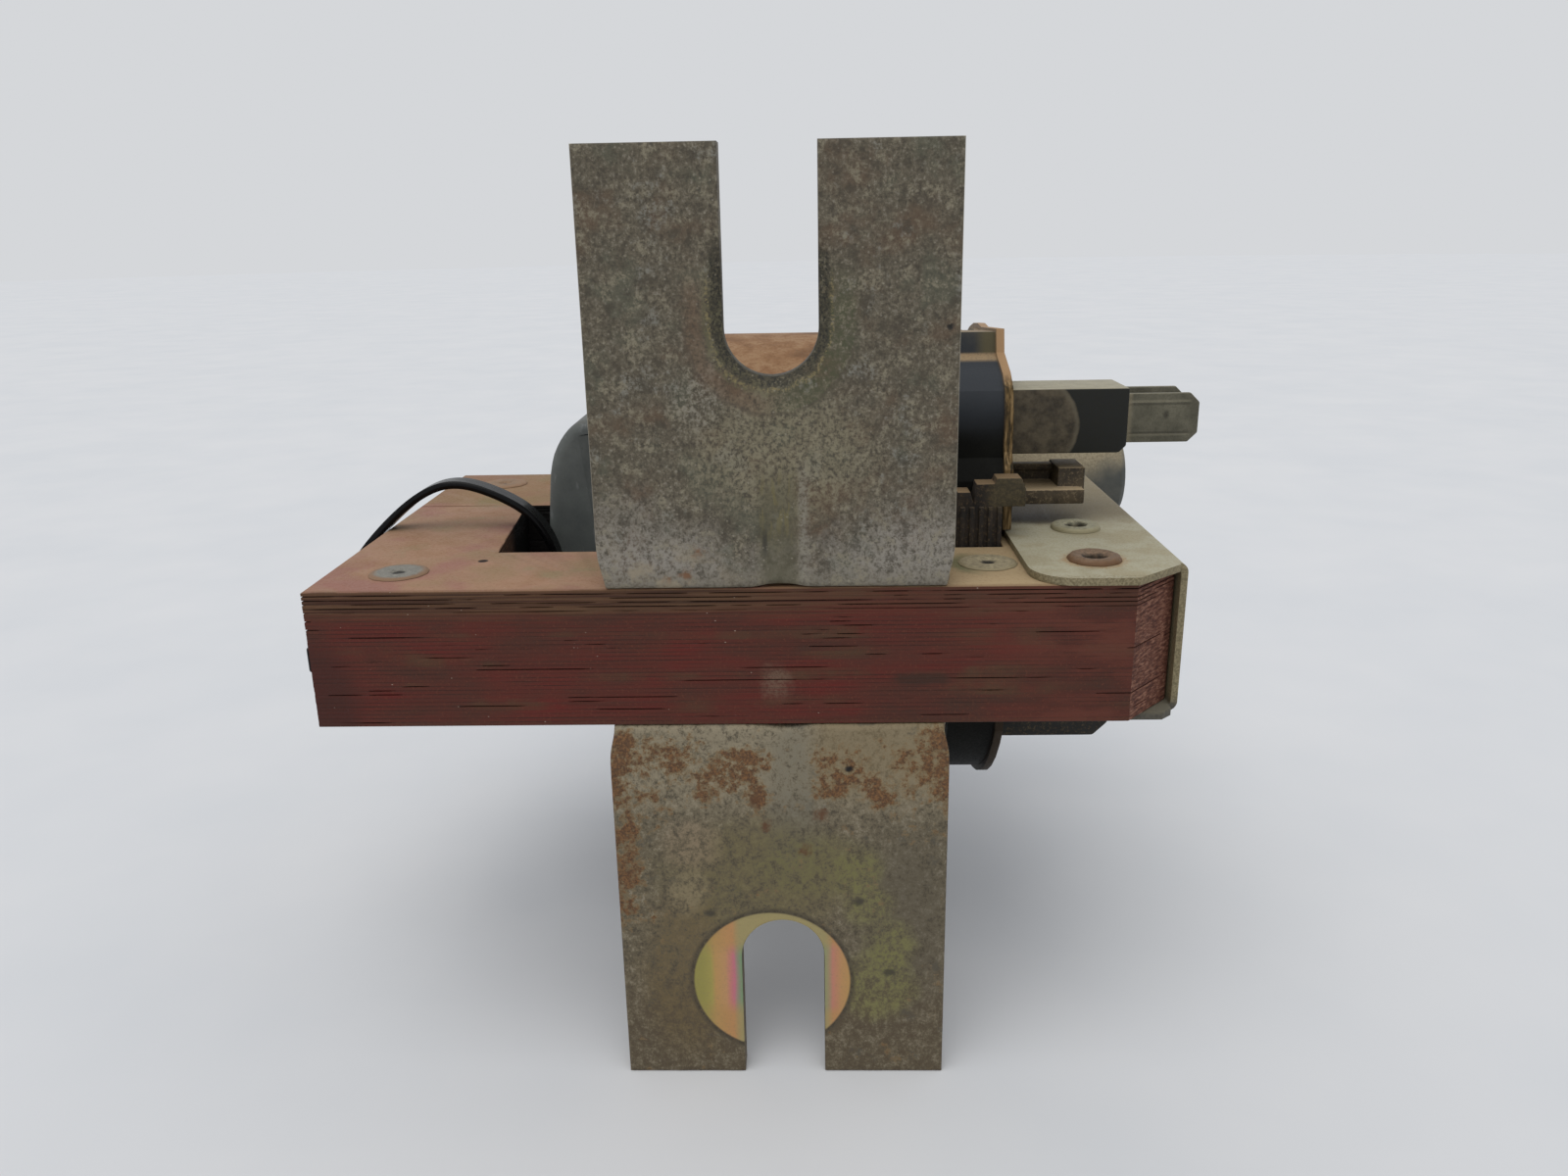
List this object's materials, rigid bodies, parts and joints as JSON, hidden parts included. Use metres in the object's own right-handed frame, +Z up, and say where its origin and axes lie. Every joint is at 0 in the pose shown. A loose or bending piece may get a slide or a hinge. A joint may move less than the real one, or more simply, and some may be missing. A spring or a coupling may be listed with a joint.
{
  "type": "ignition coil",
  "caption": "Laminated-core ignition coil with slotted upper and lower mounting brackets, riveted end strap, moulded terminal head with spade tabs and a high-tension outlet.",
  "frame": {"origin": "on the upper bracket's flat mounting face, on its centre line, 18 mm above the core's top face and between the bend and the end of the slot", "axes": "+Z up along the brackets, -Y out of the mounting face towards the panel it bolts to, +X along the core towards the terminal head"},
  "size_m": [0.1246, 0.0876, 0.1121],
  "materials": {
    "core_paint": "red oxide paint over steel laminations, chipped and dusty",
    "rivet_steel": "dull zinc, dimpled heads",
    "eyelet_steel": "dull steel, rusted roll",
    "upper_bracket_zinc": "weathered zinc plate, olive brown with grey oxide",
    "lower_bracket_zinc": "weathered yellow-passivated zinc with orange rust spots",
    "strap_galvanised": "cream grey galvanised sheet",
    "case_plastic": "dark plastic under brown orange dust",
    "grey_plastic": "matt dark grey moulding",
    "black_plastic": "satin black moulding, tan dust on edges",
    "bobbin_plastic": "natural nylon",
    "copper_wire": "enamelled copper wire",
    "insulation_paper": "kraft insulation paper",
    "potting_resin": "cast resin",
    "terminal_metal": "tarnished tinned brass",
    "tie_nylon": "black nylon"
  },
  "bodies": {
    "root": {"core_u_stack": "core_paint", "core_back_leg": "core_paint", "core_rivet_1": "rivet_steel", "core_rivet_2": "rivet_steel", "core_rivet_3": "rivet_steel", "bracket_rivet_1": "rivet_steel", "bracket_rivet_2": "rivet_steel", "strap_eyelet_1": "eyelet_steel", "strap_eyelet_2": "eyelet_steel", "strap_eyelet_3": "eyelet_steel", "upper_bracket": "upper_bracket_zinc", "lower_bracket": "lower_bracket_zinc", "end_strap": "strap_galvanised", "coil_case": "case_plastic", "left_end_cap": "grey_plastic", "ht_tower": "grey_plastic", "terminal_head": "black_plastic", "bobbin_cheek": "black_plastic", "latch_ledge": "black_plastic", "terminal_block": "black_plastic", "lower_lug": "black_plastic", "primary_bobbin": "bobbin_plastic", "secondary_bobbin": "bobbin_plastic", "primary_winding": "copper_wire", "secondary_winding_1": "copper_wire", "secondary_winding_2": "copper_wire", "secondary_winding_3": "copper_wire", "secondary_winding_4": "copper_wire", "interlayer_sleeve": "insulation_paper", "potting_compound": "potting_resin", "spade_terminal_front": "terminal_metal", "spade_terminal_rear": "terminal_metal", "ht_insert": "terminal_metal", "cable_tie": "tie_nylon"}
  },
  "joints": []
}
